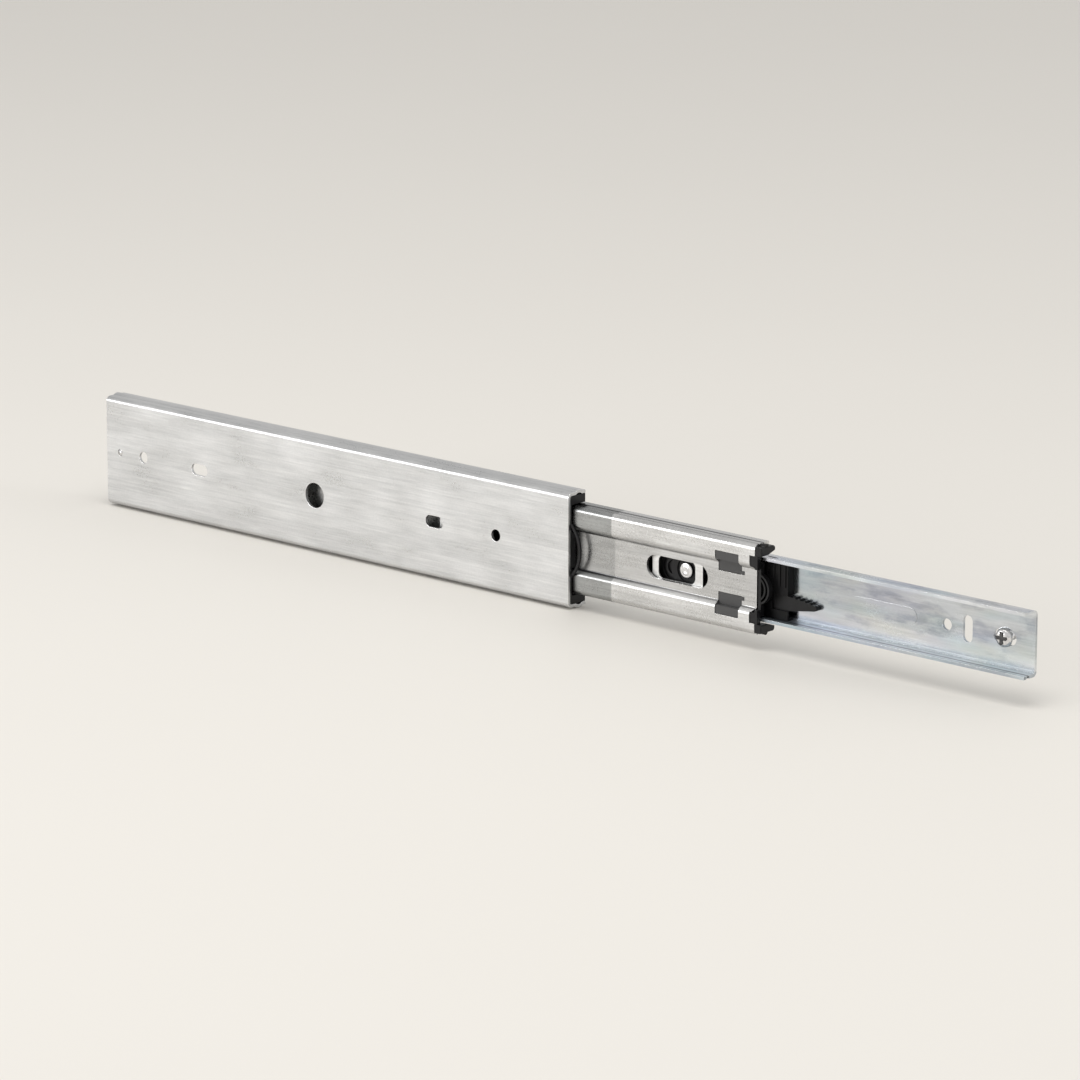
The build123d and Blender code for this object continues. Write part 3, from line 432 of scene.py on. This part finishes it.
def set_rivet(node, head, body, facing):
    """A rivet in the node's place. facing is -1 where the head looks at the wall."""
    near, far = (Vector(corner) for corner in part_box(node))
    centre = (near + far) / 2
    seat_y = near.y + RIVET_RISE if facing < 0 else far.y - RIVET_RISE
    piece = domed_rivet.grow(
        node + "_finished",
        rivet_zinc,
        Seat=Vector((centre.x, seat_y, centre.z)),
        Facing=float(facing),
        Head=head,
        Rise=RIVET_RISE,
        Dimple=RIVET_DIMPLE,
        Shank=SHANK_RADIUS,
        Length=far.y - near.y - RIVET_RISE,
    )
    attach(piece, body)
    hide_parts(node)


LARGE_HEAD = 0.003
set_rivet("rear_buffer_rivet", LARGE_HEAD, "cabinet", 1)


# Outer ball cage: thin strip pressed to follow the band and web, pierced for the balls and
# lightened by three windows.
cage_zinc = Zinc("cage_zinc", rgb(0.50, 0.50, 0.50), rgb(0.86, 0.86, 0.85), roughness=0.28).done()


def dress(node, material):
    nodes[node].data.materials.clear()
    nodes[node].data.materials.append(material)


dress("outer_ball_cage", cage_zinc)


# Outer balls: two rows of hardened, polished steel balls that roll between the cabinet and
# intermediate members.
BALL_SEGMENTS = 40
ball_row = Recipe("ball_row", Count=int, First=Vector, Pitch=float, Radius=float)
step_on = ball_row.node("ShaderNodeCombineXYZ", values=[ball_row.size("Pitch"), 0.0, 0.0])
line_values = {"Count": ball_row.size("Count"), "Start Location": ball_row.size("First"), "Offset": step_on}
places = ball_row.node("GeometryNodeMeshLine", {"mode": "OFFSET"}, line_values)
ball_values = {"Segments": BALL_SEGMENTS, "Rings": BALL_SEGMENTS // 2, "Radius": ball_row.size("Radius")}
ball = ball_row.node("GeometryNodeMeshUVSphere", values=ball_values)
ball_row.finish(ball_row.node("GeometryNodeInstanceOnPoints", values={"Points": places, "Instance": ball}))
ball_steel = Polished("ball_steel", rgb(0.66, 0.66, 0.68), rgb(0.82, 0.82, 0.84), roughness=0.04).material


BALLS_IN_ROW = 8


def lay_balls(node, body):
    near, far = (Vector(corner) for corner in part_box(node))
    radius = (far.z - near.z) / 2
    first = Vector((near.x + radius, (near.y + far.y) / 2, (near.z + far.z) / 2))
    pitch = (far.x - near.x - 2 * radius) / (BALLS_IN_ROW - 1)
    name = node + "_finished"
    piece = ball_row.grow(name, ball_steel, Count=BALLS_IN_ROW, First=first, Pitch=pitch, Radius=radius)
    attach(piece, body)
    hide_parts(node)


lay_balls("outer_balls_upper", "outer_cage")
lay_balls("outer_balls_lower", "outer_cage")


# Intermediate member: heavier rolled strip with raised bands and a recessed web. The foot of its
# steps, the lips of its ball groove and the web are painted darker as painted shade, and the stretch
# just ahead of the cabinet's mouth is painted darker as the cabinet's painted shadow.
STEP_FOOT = 0.0074
STEP_SPREAD = 0.0006
SLOPE_MIDDLE = 0.0083
SLOPE_EDGES = (0.0007, 0.0004)
WEB_EDGES = (0.0074, 0.0070)
FLANGE_EDGES = (0.0160, 0.0166)
GROOVE_MIDDLE = 0.0060
GROOVE_HALF = 0.0014
LIP_SPREAD = 0.0004
STEP_SHADE_FADE = (0.085, 0.005)
CABINET_SHADOW_ENDS = (0.0196, 0.0190)
SLOPE_ROUGHER = 0.22
WEB_SHADOW_EASING = 0.5
strip = Zinc("intermediate_zinc", rgb(0.39, 0.39, 0.39), rgb(0.80, 0.80, 0.795), roughness=0.19)
rise = strip.math("ABSOLUTE", strip.along("Z"))
off_step = strip.math("ABSOLUTE", rise - STEP_FOOT)
patches = strip.pattern((60.0, 300.0, 300.0), 3.0, 0.5, 0.25, 0.6)
# The foot of each step is painted darker as painted shade, patchy and fading towards the front.
rearward = strip.spread(strip.along("X"), *STEP_SHADE_FADE)
step_shade = strip.spread(off_step, STEP_SPREAD, STEP_SPREAD * 0.4) * (0.45 * patches + 0.55 * rearward)
strip.shade(step_shade, rgb(0.22, 0.22, 0.23))
off_slope = strip.math("ABSOLUTE", rise - SLOPE_MIDDLE)
strip.rough = strip.rough + SLOPE_ROUGHER * strip.spread(off_slope, *SLOPE_EDGES)
# The lips of the flanges' ball groove are painted as dark lines of painted shade.
on_flange = strip.spread(rise, *FLANGE_EDGES)
off_groove = strip.math("ABSOLUTE", strip.along("Y") - GROOVE_MIDDLE)
off_lip = strip.math("ABSOLUTE", off_groove - GROOVE_HALF)
in_lip = strip.spread(off_lip, LIP_SPREAD, LIP_SPREAD * 0.6)
strip.shade(on_flange * in_lip, rgb(0.30, 0.30, 0.31))
# The recessed web is painted a little darker as painted shade.
on_web = strip.spread(rise, *WEB_EDGES)
strip.shade(on_web, rgb(0.83, 0.83, 0.83))
# The stretch just ahead of the cabinet's mouth is painted darker as the cabinet's painted shadow, less so
# on the web.
cabinet_shadow = strip.spread(strip.along("X"), *CABINET_SHADOW_ENDS)
strip.shade(cabinet_shadow * (1.0 - WEB_SHADOW_EASING * on_web), rgb(0.56, 0.57, 0.57))
softened(
    "intermediate_member",
    strip.done(),
    "intermediate",
    width=0.00014,
    edge=rubbed_edge,
)


# Intermediate front bumper: acetal snapped through two windows of the sheet. Its hooks stand
# ahead of the sheet and its thin bows soften the closing stop. Its lugs are painted grey as a
# painted sheen from the lamps.
LUG_FRONTS = (0.0832, 0.0826)
bumper_black = Moulded("bumper_acetal", JET_BLACK, MOULD_ROUGHNESS)
# The lugs are painted grey as a painted sheen from the lamps.
lug_sheen = bumper_black.spread(bumper_black.along("X"), *LUG_FRONTS)
bumper_black.set(Base_Color=bumper_black.mix(lug_sheen, bumper_black.colour, rgb(0.072, 0.072, 0.073)))
softened(
    "intermediate_front_bumper",
    bumper_black.material,
    "intermediate",
    width=0.0002,
    segments=3,
)


# Intermediate rear buffer: an acetal cap, moulded to grip the sheet's rear end. Its pads keep
# the outer cage on.
softened("intermediate_rear_buffer", black, "intermediate", width=0.0002)


# Inner ball cage and its balls: as the outer ones, smaller, between the intermediate and
# drawer members.
dress("inner_ball_cage", cage_zinc)
lay_balls("inner_balls_upper", "inner_cage")
lay_balls("inner_balls_lower", "inner_cage")


# Drawer member: thin rolled strip, screwed to the drawer's side. The blue passivation of its
# plate gives faint lilac, cyan and straw tints. The web and the lower flange are painted darker as
# painted shade, the web less so towards its foot and the front, and two dark lines of painted shade
# run along the lower flange where the ball groove's ridge and the lip's inner corner fall.
TINTS = (rgb(0.86, 0.84, 0.97), rgb(0.80, 0.94, 0.97), rgb(0.99, 0.96, 0.86))
WEB_TOP = (0.0108, 0.0100)
WEB_FOOT = (-0.0095, -0.0010)
WEB_FRONT = (0.13, 0.21)
LOWER_FLANGE = (-0.0100, -0.0108)
FLANGE_SHADE_LINES = ((0.0078, 0.0008, 0.26), (0.0061, 0.0004, 0.45))
FLANGE_ROUGHER = 0.25
FRONT_LIGHTER = 0.35
CLOUD_STRENGTH = 0.6
drawer_zinc = Zinc("drawer_zinc", rgb(0.50, 0.52, 0.54), rgb(0.88, 0.90, 0.92), roughness=0.12)
for place_in_list, tint in enumerate(TINTS):
    cloud = drawer_zinc.noise((22.0 + 9.0 * place_in_list, 70.0, 75.0 + 25.0 * place_in_list), 2.0)
    drawer_zinc.shade(drawer_zinc.spread(cloud, 0.48, 0.7) * CLOUD_STRENGTH, tint)
blotch = drawer_zinc.pattern((55.0, 120.0, 160.0), 4.0, 0.6, 0.52, 0.62)
drawer_zinc.shade(blotch * CLOUD_STRENGTH, rgb(0.62, 0.64, 0.69))
height = drawer_zinc.along("Z")
on_web = drawer_zinc.spread(height, *WEB_TOP) * drawer_zinc.spread(height, *WEB_FOOT)
forward = drawer_zinc.spread(drawer_zinc.along("X"), *WEB_FRONT)
# The web is painted darker as painted shade, less so towards its foot and the front.
drawer_zinc.shade(on_web * (1.0 - FRONT_LIGHTER * forward), rgb(0.68, 0.69, 0.705))
in_flange = drawer_zinc.spread(height, *LOWER_FLANGE)
# The lower flange is painted darker as painted shade.
drawer_zinc.shade(in_flange, rgb(0.66, 0.69, 0.705))
drawer_zinc.rough = drawer_zinc.rough + FLANGE_ROUGHER * in_flange
# Two dark lines of painted shade run along the lower flange, at the ball groove's ridge and the lip's inner
# corner.
for line_y, line_half, tone in FLANGE_SHADE_LINES:
    off_line = drawer_zinc.math("ABSOLUTE", drawer_zinc.along("Y") - line_y)
    in_line = drawer_zinc.spread(off_line, line_half, line_half * 0.5)
    drawer_zinc.shade(in_line * in_flange, rgb(tone, tone, 1.04 * tone))
softened("drawer_member", drawer_zinc.done(), "drawer", width=0.0001, edge=rubbed_edge)


# Lever housing: nylon, moulded with upright ribs near its front end. It is riveted inside the
# drawer member and guides the lever.
housing_black = Moulded("housing_nylon", rgb(0.003, 0.003, 0.0033), roughness=0.30, shine=0.16).material
softened("lever_housing", housing_black, "drawer", width=0.00015)


# Housing rivet and pin: one small domed rivet, and a moulded pin flush with the housing.
# The rivet holds the housing down, and the pin keeps it from turning.
SMALL_HEAD = 0.0022
set_rivet("housing_rivet", SMALL_HEAD, "drawer", -1)
dress("housing_pin", housing_black)


# Release lever: nylon, on a rivet at its ringed boss, with a catch nose and a tongue whose
# grips a finger presses.
lever_black = Moulded("lever_nylon", JET_BLACK, roughness=0.32).material
softened("release_lever", lever_black, "lever", width=0.0002)


# Lever rivet: steel, larger and domed by the setting tool. The lever turns on it, and the
# access slot shows its head.
set_rivet("lever_rivet", LARGE_HEAD, "drawer", -1)


# Drawer screw: a zinc-plated pan-head wood screw with a tapered cross recess and a rolled
# thread. It holds the drawer member to the drawer's side through the front slot.
SCREW_NEAR, SCREW_FAR = (Vector(corner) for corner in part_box("drawer_screw"))
SCREW_SIDES = 96
TURNED_WELD = 1e-7
SCREW_CORE = 0.00145
SCREW_OUTLINE = (
    (0.0, 0.0), (0.0012, 0.00003), (0.0021, 0.00018), (0.0028, 0.00048), (0.0033, 0.00095),
    (0.00356, 0.0015), (0.0036, 0.00185), (0.00355, 0.00208), (0.0034, 0.0022), (0.0019, 0.0022),
    (SCREW_CORE, 0.0026), (SCREW_CORE, 0.0112), (0.0009, 0.0136), (0.0, 0.0152),
)
RECESS_WING = 0.0022
RECESS_HALF = 0.00055
RECESS_DEPTH = 0.0019
RECESS_TAPER = 0.35
RECESS_LEVELS = ((-0.0003, 1.1), (RECESS_DEPTH, RECESS_TAPER))
RECESS_EDGE_ANGLE = math.radians(32.0)
CORNER_DIGITS = 8
screw_axis = Vector(((SCREW_NEAR.x + SCREW_FAR.x) / 2, SCREW_NEAR.y, 0.0))
turned = bmesh.new()
chain = [turned.verts.new(screw_axis + Vector((radius, depth, 0.0))) for radius, depth in SCREW_OUTLINE]
edges = [turned.edges.new(pair) for pair in zip(chain, chain[1:])]
bmesh.ops.spin(
    turned, geom=chain + edges, cent=screw_axis, axis=(0.0, 1.0, 0.0), angle=math.tau, steps=SCREW_SIDES
)
bmesh.ops.remove_doubles(turned, verts=turned.verts, dist=TURNED_WELD)
bmesh.ops.recalc_face_normals(turned, faces=turned.faces)
for face in turned.faces:
    face.smooth = True
screw_mesh = bpy.data.meshes.new("drawer_screw_finished")
turned.to_mesh(screw_mesh)
turned.free()

wing = ((RECESS_HALF, -RECESS_HALF), (RECESS_WING, -RECESS_HALF), (RECESS_WING, RECESS_HALF))
star = []
for quarter in range(4):
    angle = quarter * math.pi / 2
    for along_wing, aside in wing:
        x = along_wing * math.cos(angle) - aside * math.sin(angle)
        z = along_wing * math.sin(angle) + aside * math.cos(angle)
        star.append((x, z))
punch = bmesh.new()
levels = []
for depth, scale in RECESS_LEVELS:
    rim = [punch.verts.new(screw_axis + Vector((x * scale, depth, z * scale))) for x, z in star]
    levels.append(rim)
    punch.faces.new(rim)
for place_in_rim in range(len(star)):
    after = (place_in_rim + 1) % len(star)
    upper, lower = levels
    punch.faces.new((upper[place_in_rim], upper[after], lower[after], lower[place_in_rim]))
bmesh.ops.recalc_face_normals(punch, faces=punch.faces)
punch_mesh = bpy.data.meshes.new("recess_punch")
punch.to_mesh(punch_mesh)
punch.free()
# The cross recess gets a near-black finish as painted shade.
recess_grime = Polished("recess_grime", rgb(0.04, 0.04, 0.042), rgb(0.13, 0.13, 0.13), roughness=0.45)
punch_mesh.materials.append(recess_grime.material)
screw_mesh.materials.append(rivet_zinc)
punch_object = bpy.data.objects.new("recess_punch", punch_mesh)
bpy.context.scene.collection.objects.link(punch_object)
blank = bpy.data.objects.new("screw_blank", screw_mesh)
bpy.context.scene.collection.objects.link(blank)
cut = blank.modifiers.new("cross_recess", "BOOLEAN")
cut.object = punch_object
cut.solver = "EXACT"
cut.material_mode = "TRANSFER"
depsgraph = bpy.context.evaluated_depsgraph_get()
cut_mesh = bpy.data.meshes.new_from_object(blank.evaluated_get(depsgraph))
bpy.data.objects.remove(blank)
bpy.data.objects.remove(punch_object)

# The cut leaves its corners and faces in an order that varies, so they are put in a fixed one.
corners = [tuple(vert.co) for vert in cut_mesh.vertices]
rounded = [[round(part, CORNER_DIGITS) for part in corner] for corner in corners]
order = sorted(range(len(corners)), key=rounded.__getitem__)
rank = {old: new for new, old in enumerate(order)}
rings = []
for face in cut_mesh.polygons:
    ring = [rank[corner] for corner in face.vertices]
    start = ring.index(min(ring))
    rings.append((ring[start:] + ring[:start], face.use_smooth, face.material_index))
rings.sort()
head_mesh = bpy.data.meshes.new("drawer_screw_ordered")
head_mesh.from_pydata([corners[place] for place in order], [], [ring for ring, smooth, material in rings])
for material in cut_mesh.materials:
    head_mesh.materials.append(material)
for face, (ring, smooth, material) in zip(head_mesh.polygons, rings):
    face.use_smooth = smooth
    face.material_index = material
head_mesh.set_sharp_from_angle(angle=RECESS_EDGE_ANGLE)

THREAD_STEPS = 360
THREAD_START = 0.0034
THREAD_END_AT = 1.03
THREAD_END_SLOPE = 3.4
THREAD_START_SLOPE = 12.0
THREAD_START_LOW = 0.6
rolled_thread = Recipe("rolled_thread", Seat=Vector, Turns=float, Length=float, Core=float, Rise=float)
run = rolled_thread.node("GeometryNodeCurvePrimitiveLine")
run = rolled_thread.node("GeometryNodeResampleCurve", values={"Curve": run, "Count": THREAD_STEPS})
part_way = rolled_thread.node("GeometryNodeSplineParameter", output="Factor")
turn = part_way * rolled_thread.size("Turns") * math.tau
fade = rolled_thread.math("MINIMUM", (THREAD_END_AT - part_way) * THREAD_END_SLOPE, 1.0)
fade = rolled_thread.math("MINIMUM", part_way * THREAD_START_SLOPE + THREAD_START_LOW, fade)
reach = rolled_thread.size("Core") * fade
spot = rolled_thread.node(
    "ShaderNodeCombineXYZ",
    values=[
        reach * rolled_thread.math("COSINE", turn),
        part_way * rolled_thread.size("Length"),
        reach * rolled_thread.math("SINE", turn),
    ],
)
spot = rolled_thread.node("ShaderNodeVectorMath", {"operation": "ADD"}, [spot, rolled_thread.size("Seat")])
run = rolled_thread.node("GeometryNodeSetPosition", values={"Geometry": run, "Position": spot})
crest_values = {"Resolution": 4, "Radius": rolled_thread.size("Rise")}
crest = rolled_thread.node("GeometryNodeCurvePrimitiveCircle", values=crest_values)
ridge_values = {"Curve": run, "Profile Curve": crest, "Fill Caps": True}
rolled_thread.finish(rolled_thread.node("GeometryNodeCurveToMesh", values=ridge_values))
thread = rolled_thread.grow(
    "screw_thread",
    rivet_zinc,
    Seat=screw_axis + Vector((0.0, THREAD_START, 0.0)),
    Turns=7.0,
    Length=0.0113,
    Core=SCREW_CORE,
    Rise=0.00042,
)
screw = bpy.data.objects.new("drawer_screw_finished", head_mesh)
bpy.context.scene.collection.objects.link(screw)
for piece in (screw, thread):
    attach(piece, "drawer")
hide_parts("drawer_screw")


# The floor's paint: plain and pale, with a barely uneven tone.
pale = Finish("floor_paint")
soft = pale.noise((3.0, 3.0, 3.0), 2.0)
pale.set(Base_Color=pale.mix(soft, rgb(0.78, 0.755, 0.71), rgb(0.80, 0.775, 0.73)), Roughness=0.6)
floor_mesh.materials.append(pale.material)
